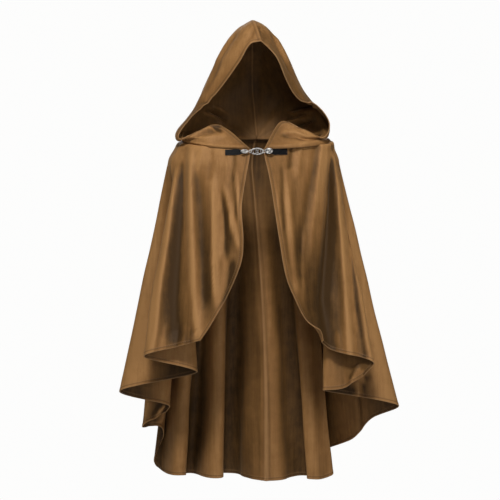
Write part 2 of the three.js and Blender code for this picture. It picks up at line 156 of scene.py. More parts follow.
def body_column(a, v):
    """Points of the body at parameter a, a number, and the shares v, an array."""
    i = int(np.clip(math.floor(a), 0, len(FOLDS) - 2))
    f = a - i
    last = len(FOLDS) - 1
    p = [fold_points(int(np.clip(k, 0, last)), v) for k in (i - 1, i, i + 1, i + 2)]
    opened = (TIP_ROUND * np.clip((v - SHOULDER_V) / (1 - SHOULDER_V), 0, 1))[..., None]

    def turn(k, before, after):
        _, side, deg, *_rest, tip = FOLDS[k]
        q, ahead = math.radians(deg), 1 if side < 0 else -1
        way = np.array([side * math.cos(q) * ahead * 1.2, math.sin(q) * ahead, 0])
        half = 1 if k in (0, last) else 0.5
        return (after - before) * half + way * opened * tip

    m0 = turn(i, p[0] if i else p[1], p[2])
    m1 = turn(i + 1, p[1], p[3] if i < last - 1 else p[2])
    return hermite(p[1], p[2], m0, m1, f)


def hood_rows(side):
    rows = []
    for n, r in enumerate(RIBS):
        pts = [ring_point(NECK, side, r[1])]
        for k, q in enumerate(r[2:]):
            if side < 0 or k == 8:
                pts.append(np.array(q, float) if side < 0 or n else np.array(RIGHT_RIM[k], float))
            elif n == 0:
                pts.append(np.array(RIGHT_RIM[k], float))
            else:
                pts.append(np.array([2 * HOOD_MIDDLE_X - q[0], q[1], q[2] + RIGHT_LIFT[k]], float))
        rows.append((r[0], pts))
    end = ring_point(NECK, side, NAPE_DEG)
    rows.append((1.0, [np.array([end[0] * (1 - k / 9), end[1] + 2 * k / 9, end[2] + NAPE_RISE * k / 9]) for k in range(10)]))
    return rows


def hood_grid(side, ts, ss):
    rows = hood_rows(side)
    ribs = np.stack([catmull(p, ss * 9) for _, p in rows])  # rib, s, 3
    knots = np.array([r[0] for r in rows])
    i = np.clip(np.searchsorted(knots, ts, side="right") - 1, 0, len(rows) - 2)
    a = i + (ts - knots[i]) / (knots[i + 1] - knots[i])
    out = np.stack([catmull(ribs[:, j], a) for j in range(len(ss))], 1)
    out[..., 0] += side * CENTRE_STEP
    out[..., 2] += SEAM_STEP
    return out


# ------------------------------------------------------------------ helpers for cloth
def smooth(x):
    x = np.clip(x, 0, 1)
    return x * x * (3 - 2 * x)


def grid_normals(P):
    du = np.gradient(P, axis=0)
    dv = np.gradient(P, axis=1)
    n = np.cross(du, dv)
    l = np.linalg.norm(n, axis=-1, keepdims=True)
    return n / np.maximum(l, 1e-9)


def along(P, axis):
    """Running length of the grid lines along an axis, in mm."""
    d = np.linalg.norm(np.diff(P, axis=axis), axis=-1)
    shape = list(P.shape[:2])
    shape[axis] = 1
    return np.concatenate([np.zeros(shape), np.cumsum(d, axis=axis)], axis=axis)


def crease(Q, line, width, ends=(True, True)):
    """Profile, 0 to 1, of a crease along line in the plane of Q (n, m, 2). width is (start, end)."""
    line = np.asarray(line, float)
    seg = np.diff(line, axis=0)
    length = np.linalg.norm(seg, axis=1)
    start = np.concatenate([[0], np.cumsum(length)])
    best = np.full(Q.shape[:2], 1e9)
    where = np.zeros(Q.shape[:2])
    for k in range(len(seg)):
        rel = Q - line[k]
        t = (rel @ seg[k]) / (length[k] ** 2)
        t = np.clip(t, 0, 1)
        d = np.linalg.norm(rel - t[..., None] * seg[k], axis=-1)
        near = d < best
        best = np.where(near, d, best)
        where = np.where(near, (start[k] + t * length[k]) / start[-1], where)
    w = width[0] + (width[1] - width[0]) * where
    prof = np.exp(-((best / w) ** 2))
    if ends[0]:
        prof = prof * smooth(where / 0.25)
    if ends[1]:
        prof = prof * smooth((1 - where) / 0.25)
    return prof


def lattice(seed, nx, ny, x, y):
    """Smooth repeatable noise, about -1 to 1, on an nx by ny lattice at x, y in 0 to 1."""
    rng = np.random.default_rng(seed)
    g = rng.uniform(-1, 1, (nx + 3, ny + 3))
    fx, fy = np.clip(x, 0, 1) * nx, np.clip(y, 0, 1) * ny
    i, j = np.minimum(fx.astype(int), nx - 1), np.minimum(fy.astype(int), ny - 1)
    u, v = smooth(fx - i), smooth(fy - j)
    return (g[i, j] * (1 - u) + g[i + 1, j] * u) * (1 - v) + (g[i, j + 1] * (1 - u) + g[i + 1, j + 1] * u) * v


def mesh_object(name, verts, faces, material, smooth_shade=True, attributes=None):
    me = bpy.data.meshes.new(name)
    verts = np.asarray(verts, np.float32)
    faces = np.asarray(faces, np.int32)
    me.vertices.add(len(verts))
    me.vertices.foreach_set("co", (verts * MM).ravel())
    me.loops.add(faces.size)
    me.loops.foreach_set("vertex_index", faces.ravel())
    me.polygons.add(len(faces))
    me.polygons.foreach_set("loop_start", np.arange(0, faces.size, faces.shape[1], dtype=np.int32))
    me.polygons.foreach_set("loop_total", np.full(len(faces), faces.shape[1], np.int32))
    me.update(calc_edges=True)
    me.validate()
    if smooth_shade:
        me.polygons.foreach_set("use_smooth", np.ones(len(me.polygons), bool))
    for key, values in (attributes or {}).items():
        at = me.attributes.new(key, "FLOAT", "POINT")
        at.data.foreach_set("value", np.asarray(values, np.float32).ravel())
    me.materials.append(material)
    ob = bpy.data.objects.new(name, me)
    bpy.context.scene.collection.objects.link(ob)
    return ob


def shell(name, P, N, thick, material, attributes):
    """A closed shell of cloth over the grid P, with normals N on the outside of the cloak."""
    U, V = P.shape[:2]
    outer = P + N * (thick / 2)[..., None]
    inner = P - N * (thick / 2)[..., None]
    verts = np.concatenate([outer.reshape(-1, 3), inner.reshape(-1, 3)])
    idx = np.arange(U * V).reshape(U, V)
    low = idx + U * V
    A = np.stack([idx[:-1, :-1], idx[1:, :-1], idx[1:, 1:], idx[:-1, 1:]], -1).reshape(-1, 4)
    B = np.stack([low[:-1, :-1], low[:-1, 1:], low[1:, 1:], low[1:, :-1]], -1).reshape(-1, 4)
    s1 = np.stack([idx[:-1, 0], low[:-1, 0], low[1:, 0], idx[1:, 0]], -1)
    s2 = np.stack([idx[:-1, -1], idx[1:, -1], low[1:, -1], low[:-1, -1]], -1)
    s3 = np.stack([idx[0, :-1], idx[0, 1:], low[0, 1:], low[0, :-1]], -1)
    s4 = np.stack([idx[-1, :-1], low[-1, :-1], low[-1, 1:], idx[-1, 1:]], -1)
    faces = np.concatenate([A, B, s1, s2, s3, s4])
    a, b, c = verts[faces[:, 0]], verts[faces[:, 1]], verts[faces[:, 2]]
    d = verts[faces[:, 3]]
    vol = np.einsum("ij,ij->", a, np.cross(b, c)) + np.einsum("ij,ij->", a, np.cross(c, d))
    if vol < 0:
        faces = faces[:, ::-1]
    # the inner face carries the painted fold light and shade, turned over and weaker
    both = {k: np.concatenate([v.ravel(), v.ravel() * (-0.65 if k == "painted_fold_shading" else 1)]) for k, v in attributes.items()}
    both["inside"] = np.concatenate([np.zeros(U * V), np.ones(U * V)])
    return mesh_object(name, verts, faces, material, attributes=both)


def outward(P, N, centre):
    """Turns normals to the outside of the cloak."""
    rel = P - centre
    rel[..., 2] = 0
    return N if np.einsum("ijk,ijk->", rel, N) > 0 else -N


# ------------------------------------------------------------------ materials
class Nodes:
    """Short calls for a material's node tree."""

    def __init__(self, name):
        self.mat = bpy.data.materials.new(name)
        self.mat.use_nodes = True
        self.tree = self.mat.node_tree
        self.shader = self.tree.nodes["Principled BSDF"]
        self.coord = self.tree.nodes.new("ShaderNodeTexCoord").outputs["Object"]

    def node(self, kind, values=None, **props):
        n = self.tree.nodes.new(kind)
        for k, v in props.items():
            setattr(n, k, v)
        for k, v in (values or {}).items():
            if isinstance(v, bpy.types.NodeSocket):
                self.tree.links.new(v, n.inputs[k])
            else:
                n.inputs[k].default_value = v
        return n

    def set(self, **values):
        for k, v in values.items():
            key = k.replace("_", " ")
            if isinstance(v, bpy.types.NodeSocket):
                self.tree.links.new(v, self.shader.inputs[key])
            else:
                self.shader.inputs[key].default_value = v

    def stretched(self, scale):
        return self.node("ShaderNodeMapping", {"Vector": self.coord, "Scale": scale}).outputs[0]

    def noise(self, scale, detail=3.0, rough=0.55, vector=None):
        return self.node("ShaderNodeTexNoise", {"Vector": vector or self.coord, "Scale": scale, "Detail": detail, "Roughness": rough}).outputs["Fac"]

    def math(self, op, a, b=0.0, c=0.0):
        n = self.node("ShaderNodeMath", operation=op)
        for i, v in enumerate((a, b, c)):
            if isinstance(v, bpy.types.NodeSocket):
                self.tree.links.new(v, n.inputs[i])
            else:
                n.inputs[i].default_value = v
        return n.outputs[0]

    def ramp(self, fac, stops):
        n = self.node("ShaderNodeValToRGB", {"Fac": fac})
        el = n.color_ramp.elements
        while len(el) < len(stops):
            el.new(0.5)
        for e, (pos, col) in zip(el, stops):
            e.position = pos
            e.color = (*col, 1)
        return n.outputs["Color"]

    def mix(self, fac, a, b, blend="MIX"):
        n = self.node("ShaderNodeMix", data_type="RGBA", blend_type=blend)
        for i, v in ((0, fac), (6, a), (7, b)):
            if isinstance(v, bpy.types.NodeSocket):
                self.tree.links.new(v, n.inputs[i])
            else:
                n.inputs[i].default_value = v if i == 0 else (*v, 1)
        return n.outputs[2]

    def attribute(self, name):
        return self.node("ShaderNodeAttribute", attribute_name=name).outputs["Fac"]

    def bump(self, height, strength, distance, normal=None):
        values = {"Height": height, "Strength": strength, "Distance": distance}
        if normal is not None:
            values["Normal"] = normal
        return self.node("ShaderNodeBump", values).outputs[0]


def cloth_material():
    m = Nodes("napped_cloth")
    broad = m.noise(7.0, 3.0)
    patch = m.noise(34.0, 4.0, 0.6)
    brushed = m.noise(1.0, 3.0, 0.6, m.stretched((150, 150, 9)))
    streak = m.noise(1.0, 2.0, 0.5, m.stretched((46, 46, 3)))
    speck = m.noise(700.0, 2.0, 0.7)
    # painted light and shade: fold crests are painted lighter and valleys darker, by how far the cloth stands out from
    # its smoothed form
    painted_fold_shading = m.attribute("painted_fold_shading")
    tone = m.math("MULTIPLY_ADD", painted_fold_shading, 0.44, 0.46)
    for n, k in ((broad, 0.26), (patch, 0.34), (brushed, 0.34), (streak, 0.26), (speck, 0.22)):
        tone = m.math("ADD", tone, m.math("MULTIPLY_ADD", n, k, -k / 2))
    colour = m.ramp(tone, [(0.0, (0.058, 0.0275, 0.006)), (0.40, (0.186, 0.089, 0.025)), (0.72, (0.302, 0.146, 0.046)), (1.0, (0.440, 0.226, 0.080))])
    # painted shade: darker along the hem's stitch groove, beside the seams and along the neck seam
    colour = m.mix(m.math("MULTIPLY", m.attribute("groove"), 0.62), colour, (0.052, 0.025, 0.008))
    # painted highlight: lighter along hem edges, the hem's inner fold and the seam ridges
    colour = m.mix(m.math("MULTIPLY", m.attribute("edge"), 0.62), colour, (0.440, 0.245, 0.108))
    nap = m.noise(420.0, 3.0, 0.65)
    weave = m.noise(1.0, 2.0, 0.5, m.stretched((900, 900, 320)))
    fine = m.bump(m.math("ADD", nap, m.math("MULTIPLY", weave, 0.7)), 0.4, 0.0006)
    soft = m.bump(patch, 0.30, 0.004, fine)
    pull = m.bump(streak, 0.35, 0.006, soft)
    m.set(Base_Color=colour, Normal=pull, Roughness=m.math("MULTIPLY_ADD", patch, 0.16, 0.58))
    m.shader.inputs["Specular IOR Level"].default_value = 0.26
    m.shader.inputs["Sheen Weight"].default_value = 0.16
    m.shader.inputs["Sheen Roughness"].default_value = 0.4
    m.shader.inputs["Sheen Tint"].default_value = (0.92, 0.62, 0.34, 1)
    return m.mat


def thread_material(name, low, high):
    m = Nodes(name)
    n = m.noise(1500.0, 2.0)
    m.set(Base_Color=m.ramp(n, [(0.2, low), (0.8, high)]), Roughness=0.6, Normal=m.bump(n, 0.3, 0.0002))
    return m.mat


def leather_material():
    m = Nodes("black_leather")
    cells = m.node("ShaderNodeTexVoronoi", {"Vector": m.coord, "Scale": 900.0}, feature="DISTANCE_TO_EDGE").outputs["Distance"]
    worn = m.noise(120.0, 4.0, 0.6)
    colour = m.ramp(worn, [(0.3, (0.004, 0.004, 0.0045)), (0.75, (0.011, 0.012, 0.013))])
    colour = m.mix(m.math("MULTIPLY", m.attribute("edge"), 0.5), colour, (0.09, 0.085, 0.08))
    m.set(Base_Color=colour, Roughness=m.math("MULTIPLY_ADD", worn, 0.3, 0.34), Normal=m.bump(cells, 0.25, 0.0003))
    m.shader.inputs["Specular IOR Level"].default_value = 0.08
    return m.mat


def metal_material():
    m = Nodes("worn_silver")
    worn = m.noise(260.0, 4.0, 0.6)
    fine = m.noise(1600.0, 2.0)
    colour = m.ramp(worn, [(0.3, (0.10, 0.097, 0.093)), (0.52, (0.42, 0.412, 0.40)), (0.85, (0.80, 0.79, 0.77))])
    m.set(Base_Color=colour, Metallic=1.0, Roughness=m.math("MULTIPLY_ADD", worn, 0.3, 0.22), Normal=m.bump(fine, 0.12, 0.0002))
    return m.mat


CLOTH_MAT = cloth_material()
THREAD_MAT = thread_material("thread", (0.15, 0.070, 0.025), (0.32, 0.17, 0.07))
DARK_THREAD = thread_material("dark_thread", (0.02, 0.02, 0.02), (0.07, 0.07, 0.07))
LEATHER_MAT = leather_material()
METAL_MAT = metal_material()

# ------------------------------------------------------------------ creases
# name, depth (+ stands towards the front), width at start and end, open ends, then x, z points
FRONT_L = [
    ("valley_a", -14, (9, 23), (1, 0), [(-184, 25), (-192, -150), (-199, -283), (-206, -371), (-206, -480)]),
    ("ridge_1", 8, (9, 13), (1, 0), [(-208, -20), (-228, -248), (-246, -354), (-257, -477), (-270, -540)]),
    ("side_groove", -12, (5, 8), (1, 1), [(-216, -52), (-234, -150), (-254, -250), (-276, -370)]),
    ("ridge_2", 10, (10, 13), (1, 0), [(-174, 15), (-170, -177), (-162, -318), (-155, -490)]),
    ("valley_b", -10, (13, 19), (1, 1), [(-150, -40), (-140, -177), (-137, -283), (-140, -389), (-129, -467)]),
    ("ridge_3", 10, (6, 10), (1, 1), [(-112, -60), (-112, -213), (-113, -318), (-110, -440)]),
    ("pinch", -9, (5, 9), (1, 1), [(-92, -122), (-84, -199), (-80, -248), (-84, -320)]),
    ("pinch_ridge", 4, (6, 9), (1, 1), [(-87, -100), (-66, -213), (-49, -290)]),
    ("dip_c", -6, (10, 15), (1, 1), [(-67, -290), (-76, -371), (-97, -440)]),
    ("fine_1", 2.5, (4, 6), (1, 1), [(-62, -140), (-74, -230), (-88, -330)]),
    ("fine_2", -3, (4, 6), (1, 1), [(-190, -110), (-186, -220), (-180, -330), (-176, -420)]),
    ("fine_3", 3, (4, 6), (1, 1), [(-60, -60), (-52, -140), (-47, -220)]),
    ("hem_1", -4, (4, 7), (1, 0), [(-197, -449), (-205, -530)]),
    ("hem_2", 3, (4, 6), (1, 0), [(-182, -455), (-187, -530)]),
    ("hem_3", -5, (3, 6), (1, 0), [(-167, -466), (-168, -530)]),
    ("hem_4", 3, (5, 8), (1, 0), [(-228, -459), (-238, -540)]),
    ("hem_5", 4, (3, 5), (1, 0), [(-153, -474), (-154, -520)]),
    ("side_crumple_1", 7, (5, 8), (1, 1), [(-262, -700), (-276, -728), (-284, -752)]),
    ("side_crumple_2", -7, (4, 6), (1, 1), [(-248, -700), (-262, -732), (-270, -762)]),
    ("side_crumple_3", 6, (4, 6), (1, 1), [(-236, -708), (-250, -742)]),
    ("neck_l", -3, (7, 12), (0, 1), [(-120, -18), (-118, -60), (-122, -110)]),
    ("neck_l2", 2.5, (5, 8), (0, 1), [(-140, -14), (-146, -50), (-150, -90)]),
    ("neck_l3", -2.5, (5, 8), (0, 1), [(-60, -22), (-62, -70), (-66, -120)]),
]
FRONT_R = [
    ("ridge_1", 5.5, (9, 14), (1, 1), [(77, -90), (83, -197), (94, -293), (112, -430)]),
    ("ridge_0", 2, (6, 9), (1, 1), [(49, -100), (57, -177), (70, -293), (89, -380)]),
    ("neck_dip", -5, (6, 8), (0, 1), [(89, -22), (86, -80)]),
    ("neck_r2", 3, (5, 8), (0, 1), [(112, -18), (104, -70), (98, -110)]),
    ("valley_a", -6, (8, 13), (0, 1), [(150, -12), (131, -134), (115, -240), (110, -380)]),
    ("ridge_a", 5, (6, 9), (0, 1), [(166, -10), (154, -100), (143, -200), (136, -330)]),
    ("valley_b", -4, (10, 14), (1, 1), [(160, -130), (143, -278), (133, -391), (140, -470)]),
    ("valley_deep", -12, (7, 21), (1, 0), [(194, 30), (186, -133), (175, -293), (164, -400), (178, -519)]),
    ("valley_deeper", -14, (7, 19), (1, 1), [(193, -5), (186, -133), (176, -293), (165, -400), (172, -505)]),
    ("side_crumple_1", -9, (5, 8), (1, 1), [(262, -570), (244, -610), (250, -660)]),
    ("side_crumple_2", 8, (5, 8), (1, 1), [(276, -580), (262, -622), (266, -672)]),
    ("side_crumple_3", -7, (4, 7), (1, 1), [(292, -590), (280, -640), (282, -680)]),
    ("side_groove", -9, (5, 8), (1, 1), [(218, -104), (232, -170), (256, -300), (276, -400)]),
    ("ridge_2", 11, (9, 14), (1, 0), [(206, -46), (211, -187), (221, -346), (234, -545)]),
    ("valley_c", -6, (7, 12), (1, 0), [(231, -80), (238, -253), (248, -404), (266, -545)]),
    ("fine_1", -3, (4, 6), (1, 1), [(62, -40), (68, -140), (76, -260)]),
    ("fine_2", 3, (4, 6), (1, 1), [(122, -200), (116, -300), (122, -420)]),
    ("hem_1", 4, (4, 7), (1, 0), [(206, -470), (212, -560)]),
    ("hem_2", -4, (4, 7), (1, 0), [(246, -470), (256, -570)]),
]
HOOD_L = [
    ("fold_a", -5, (5, 7), (1, 1), [(-46, 292), (-74, 254), (-104, 196), (-122, 150)]),
    ("fold_b", 3.5, (4, 5), (1, 1), [(-58, 290), (-84, 250), (-112, 192)]),
    ("fold_c", -3, (5, 7), (1, 1), [(-88, 214), (-112, 168), (-140, 122)]),
    ("peak", -3, (5, 8), (1, 1), [(-2, 300), (-14, 270), (-30, 246)]),
    ("pouch_1", 9, (5, 7), (1, 1), [(-150, 98), (-111, 80), (-78, 62)]),
    ("pouch_1d", -9, (4, 6), (1, 1), [(-138, 106), (-104, 90), (-74, 74)]),
    ("pouch_2", 9, (4, 6), (1, 1), [(-122, 118), (-98, 102), (-72, 88)]),
    ("pouch_7", -5, (4, 6), (1, 1), [(-132, 46), (-112, 38), (-88, 22)]),
    ("pouch_3", 5, (6, 8), (1, 1), [(-183, 14), (-142, 34), (-104, 46)]),
    ("pouch_4", -6, (4, 6), (1, 1), [(-176, 8), (-140, 22), (-96, 30)]),
    ("pouch_5", 4, (4, 6), (1, 1), [(-150, 4), (-112, 12), (-78, 14)]),
    ("pouch_6", -5, (4, 6), (1, 1), [(-118, 36), (-92, 40), (-70, 30)]),
]
HOOD_R = [
    ("fold_a", -5, (5, 7), (1, 1), [(30, 290), (52, 254), (76, 206), (96, 160)]),
    ("fold_b", 3.5, (4, 5), (1, 1), [(42, 286), (64, 244), (88, 192)]),
    ("peak", -3, (5, 8), (1, 1), [(2, 300), (12, 272), (26, 246)]),
    ("p1", 11, (5, 7), (1, 1), [(68, 63), (110, 76), (150, 84)]),
    ("p1d", -9, (4, 6), (1, 1), [(74, 52), (125, 66), (160, 71)]),
    ("p2", 10, (6, 7), (1, 1), [(95, 50), (136, 45), (172, 24)]),
    ("p2d", -9, (4, 6), (1, 1), [(100, 39), (139, 34), (166, 14)]),
    ("p3", 9, (6, 7), (1, 1), [(80, 90), (118, 97), (158, 94)]),
    ("p3d", -8, (5, 7), (1, 1), [(80, 101), (118, 107), (158, 106)]),
    ("p4", 5, (4, 6), (1, 1), [(62, 24), (100, 22), (138, 8)]),
    ("p4d", -5, (4, 6), (1, 1), [(60, 14), (98, 13), (130, 2)]),
]
# name, depth (+ stands outwards), width in mm, a and v of the ends
BACK_LINES = [
    ("nape_l", -4, 16, (12.2, 0.10), (11.6, 0.55)),
    ("nape_r", -4, 16, (13.9, 0.10), (14.5, 0.50)),
    ("blade_l", 5, 20, (10.1, 0.12), (10.0, 0.60)),
    ("blade_r", 5, 20, (15.6, 0.12), (16.3, 0.62)),
    ("inner_a", 5, 17, (13.7, 0.42), (13.55, 0.98)),
    ("inner_b", -5, 15, (12.55, 0.45), (12.45, 0.99)),
    ("inner_c", 4, 13, (12.75, 0.55), (12.85, 1.0)),
    ("side_l", -5, 14, (4.4, 0.30), (4.3, 0.95)),
    ("side_r", -5, 16, (19.5, 0.30), (19.4, 0.95)),
    ("side_r2", 5, 14, (18.6, 0.25), (18.5, 0.98)),
    ("side_l2", 4, 12, (6.5, 0.35), (6.45, 1.0)),
]
HEM_WIDE = 9.0
HEM_D = np.array([0, 0.3, 0.7, 1.3, 2.4, 4.0, 5.6, 6.6, 7.2, 7.8, 8.4, 9.0, 9.6, 10.4, 11.4, 12.8, 15.0, 18.0])


def front_dir(N):
    """The normal turned to face the front, and mostly straight forward."""
    return N * np.where(N[..., 1:2] > 0, -1.0, 1.0) * np.array([0.25, 1.0, 0.25])


def crest_of(P, N, reach):
    """How far the cloth stands out from its own smoothed form, -1 to 1."""
    S = P.copy()
    for _ in range(3):
        for ax in (0, 1):
            k = reach
            pad = [(0, 0)] * 3
            pad[ax] = (k, k)
            Q = np.pad(S, pad, mode="edge")
            c = np.cumsum(Q, axis=ax)
            n = S.shape[ax]
            hi = np.take(c, range(2 * k, 2 * k + n), axis=ax)
            lo = np.concatenate([np.zeros_like(np.take(c, [0], axis=ax)), np.take(c, range(0, n - 1), axis=ax)], axis=ax)
            S = (hi - lo) / (2 * k + 1)
    return np.clip(np.einsum("ijk,ijk->ij", P - S, N) / 9.0, -1, 1)


def hem_profile(d):
    """Thickness of the cloth at distance d from a hemmed edge."""
    thick = CLOTH + 1.2 * smooth((HEM_WIDE + 1.6 - d) / 1.6)
    thick = thick - 0.8 * np.exp(-(((d - 7.8) / 0.7) ** 2))
    rounded = np.sqrt(np.clip(1 - (1 - np.clip(d / 1.3, 0, 1)) ** 2, 0.12, 1))
    return thick * rounded


# ------------------------------------------------------------------ body
def body_panel(name, a_from, a_to, front_span, front_rows, seed):
    """One half of the body, from its front edge to the centre back seam."""
    neck_v = SEAM_STEP / 60 * SHOULDER_V
    left = a_from < a_to
    a_vals = [np.linspace(0, 1, 81)]
    for k in range(1, abs(int(round(a_to - a_from)))):
        n = 30 if k == 1 else 23 if left else 24
        a_vals.append(k + np.linspace(0, 1, n + 1)[1:])
    a_vals = np.concatenate(a_vals)
    a_vals[-1] = abs(a_to - a_from)
    a_vals = a_from + np.sign(a_to - a_from) * a_vals

    v_even = np.linspace(neck_v, 1, 60)
    hem = HEM_D[::-1]
    cols, shares = [], []
    for a in a_vals:
        c = body_column(a, v_even)
        s = np.concatenate([[0], np.cumsum(np.linalg.norm(np.diff(c, axis=0), axis=1))])
        low = np.interp(s[-1] - hem, s, v_even)
        high = np.linspace(neck_v, np.interp(s[-1] - 24, s, v_even), 132)
        v = np.concatenate([high, low])
        cols.append(body_column(a, v))
        shares.append(v)
    P = np.stack(cols)
    V = np.stack(shares)
    A = np.repeat(a_vals[:, None], P.shape[1], 1)
    P3 = np.concatenate([P, A[..., None], V[..., None]], -1)

    # the front edge gets the hem's own lines
    dense = P3[:81]
    s = along(dense[..., :3], 0)
    rows = []
    for j in range(P3.shape[1]):
        d = np.concatenate([HEM_D, np.linspace(21.5, s[-1, j], 26)])
        rows.append(np.stack([np.interp(d, s[:, j], dense[:, j, k]) for k in range(5)], -1))
    P3 = np.concatenate([np.stack(rows, 1), P3[81:]])
    P, A, V = P3[..., :3], P3[..., 3], P3[..., 4]
    # the shoulders are soft
    P[..., 0] *= 1 - 0.034 * np.exp(-(((V - 0.072) / 0.034) ** 2))
    N = outward(P, grid_normals(P), np.array([0, 0, 0.0]))

    # folds seen from the front
    mask = smooth(1 - (np.abs(A - a_from) - (front_span - 0.12)) / 0.22)
    Q = P[..., [0, 2]]
    D, F = np.zeros(P.shape[:2]), np.zeros(P.shape[:2])
    for label, depth, width, ends, line in front_rows:
        if label.startswith("side_"):
            F += depth * crease(Q, line, width, ends) * smooth((((7.4 if left else 5.3) if "crumple" in label else 2.9) - np.abs(A - a_from)) / 0.3)
        else:
            D += depth * crease(Q, line, width, ends) * mask
    P = P + front_dir(N) * D[..., None] + N * F[..., None]

    # folds of the back and sides, and the small unevenness of hanging cloth
    E = np.zeros(P.shape[:2])
    for _, depth, width, (a0, v0), (a1, v1) in BACK_LINES:
        t = np.clip((V - v0) / (v1 - v0), -0.2, 1.2)
        centre = a0 + (a1 - a0) * np.clip(t, 0, 1)
        span = np.interp(V, [0, 0.13, 1], [28, 42, 120])
        gap = (A - centre) * span
        E += depth * np.exp(-((gap / width) ** 2)) * smooth((t + 0.05) / 0.3) * np.where(v1 > 0.97, 1, smooth((1.05 - t) / 0.3))
    fall = smooth((V - 0.05) / 0.3)
    E += 2.4 * lattice(seed, 34, 5, A / LAST, V) * fall * (1 - 0.6 * mask)
    E += 1.1 * lattice(seed + 1, 70, 9, A / LAST, V) * fall
    E += 2.2 * lattice(seed + 2, 85, 3, A / LAST, V) * smooth((V - 0.86) / 0.14)
    E += 0.8 * lattice(seed + 3, 150, 2, A / LAST, V) * smooth((V - 0.95) / 0.05)
    keep = smooth(np.abs(A - CENTRE_BACK) / 0.12)
    E = E * keep * smooth((V - neck_v) / 0.06)
    P = P + N * E[..., None]

    N = outward(P, grid_normals(P), np.array([0, 0, 0.0]))
    return dict(name=name, P=P, N=N, A=A, V=V, key=V[-1], last=(-1, 0))


def shared_normals(a, b):
    """Gives both sides of a seam the same normal along it, so that they close."""
    def line(g):
        return g["N"][-1, :] if g["last"][1] == 0 else g["N"][:, -1]
    na, nb = line(a), line(b)
    for g, own, other, ok in ((a, na, nb, b["key"]), (b, nb, na, a["key"])):
        order = np.argsort(ok)
        o = np.stack([np.interp(g["key"], ok[order], other[order, k]) for k in range(3)], -1)
        mean = own + o
        mean /= np.linalg.norm(mean, axis=-1, keepdims=True)
        g["mean"] = mean
        g["mitre"] = 1 / np.clip(np.einsum("ik,ik->i", mean, own), 0.55, 1)
    for g in (a, b):
        for k, w in ((1, 1.0), (2, 0.55), (3, 0.2)):
            if g["last"][1] == 0:
                n = g["N"][-k] * (1 - w) + g["mean"] * w
                g["N"][-k] = n / np.linalg.norm(n, axis=-1, keepdims=True)
            else:
                n = g["N"][:, -k] * (1 - w) + g["mean"] * w
                g["N"][:, -k] = n / np.linalg.norm(n, axis=-1, keepdims=True)


def body_finish(g):
    name, P, N, A, V = g["name"], g["P"], g["N"], g["A"], g["V"]
    keep = smooth(np.abs(A - CENTRE_BACK) / 0.12)
    # the centre back seam stands in a little, and the hem is turned
    back = along(P[::-1], 0)[::-1]
    side_d = along(P, 0)
    hem_d = along(P[:, ::-1], 1)[:, ::-1]
    seam = np.exp(-((back / 2.8) ** 2)) * smooth((V - 0.02) / 0.08)
    run = along(P, 1)
    pucker = np.sin(run / 7.5 + 1.7 * np.sin(run / 37.0) + 0.05 * back) * np.exp(-(((back - 9) / 9.0) ** 2)) * (0.5 * smooth((V - 0.3) / 0.4) + 1.3 * smooth((V - 0.82) / 0.12))
    P = P - N * (4.4 * seam + pucker * keep)[..., None]
    d = np.minimum(side_d, hem_d)
    thick = hem_profile(d)
    thick[-1] *= g["mitre"]
    # painted light and shade from the fold form: lighter on crests, darker in valleys
    painted_fold_shading = 0.6 * crest_of(P, N, 8) + 0.7 * crest_of(P, N, 22)
    # painted highlight on the hem edge, the hem's inner fold and the centre back seam ridge
    edge = np.exp(-((d / 1.7) ** 2)) + 0.30 * np.exp(-(((d - HEM_WIDE - 0.8) / 1.2) ** 2)) + 0.8 * np.exp(-((back / 2.0) ** 2))
    neck = along(P, 1)
    # painted shade along the stitch groove, beside the centre back seam and at the neck seam under the hood's roll
    groove = 0.8 * np.exp(-(((d - 7.6) / 1.5) ** 2)) + 0.7 * np.exp(-(((back - 6.5) / 3.0) ** 2)) + np.exp(-((neck / 2.2) ** 2))
    ob = shell(name, P, N, thick, CLOTH_MAT, {"edge": np.clip(edge, 0, 1), "groove": np.clip(groove, 0, 1), "painted_fold_shading": painted_fold_shading})
    at = int(np.argmin(np.abs(HEM_D - 7.8)))
    lines = [
        (P[at, :], N[at, :], thick[at, :]),
        (P[at:, P.shape[1] - 1 - at], N[at:, P.shape[1] - 1 - at], thick[at:, P.shape[1] - 1 - at]),
    ]
    return ob, P, N, lines


